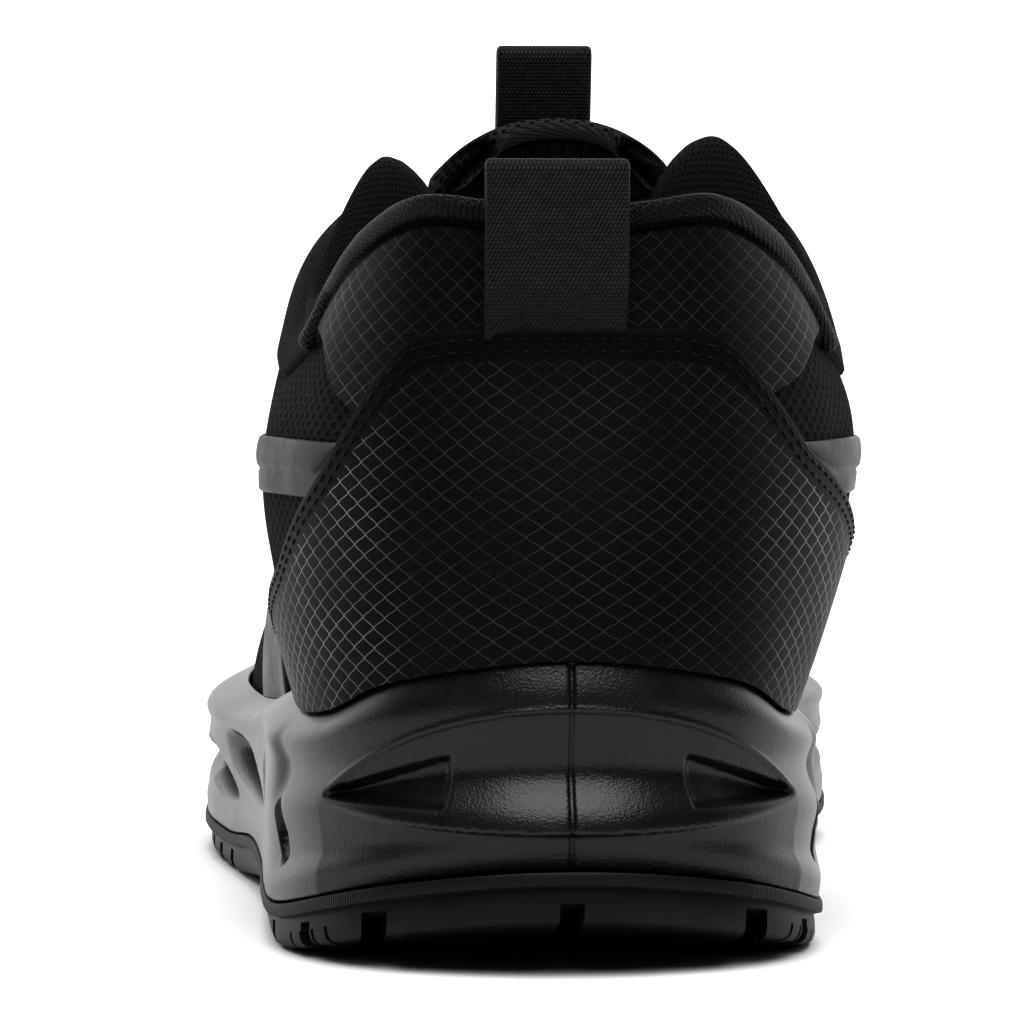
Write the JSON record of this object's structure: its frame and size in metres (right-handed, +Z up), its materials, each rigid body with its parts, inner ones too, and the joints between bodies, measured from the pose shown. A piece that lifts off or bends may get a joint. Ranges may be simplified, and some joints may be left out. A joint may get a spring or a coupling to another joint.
{
  "type": "safety sneaker",
  "caption": "Low black safety sneaker, left foot, with a padded collar, heel and tongue pull loops, crossed laces and a thick cupped sole with slanted side grooves.",
  "frame": {"origin": "on the floor, under the middle of the shoe's bounding box", "axes": "+Y from the heel to the toe, +X to the inner (medial) side, +Z up"},
  "size_m": [0.11, 0.3006, 0.1345],
  "materials": {
    "outsole_rubber": "matt black moulded rubber",
    "midsole_foam": "black moulded foam with a soft satin skin",
    "insole_cloth": "black brushed cloth",
    "air_mesh": "black padded air mesh with small holes",
    "tongue_mesh": "black padded mesh",
    "ripstop": "coated black ripstop with a raised diamond net",
    "band_film": "smooth dark grey film",
    "eyestay_film": "smooth black film",
    "lace_cord": "black flat woven lace",
    "webbing": "black woven webbing"
  },
  "bodies": {
    "root": {"outsole": "outsole_rubber", "midsole": "midsole_foam", "insole": "insole_cloth", "upper": "air_mesh", "tongue": "tongue_mesh", "heel_counter": "ripstop", "collar_panel": "ripstop", "side_band_lateral": "band_film", "side_band_medial": "band_film", "eyestay_lateral": "eyestay_film", "eyestay_medial": "eyestay_film", "laces": "lace_cord", "heel_loop": "webbing", "tongue_loop": "webbing"}
  },
  "joints": []
}
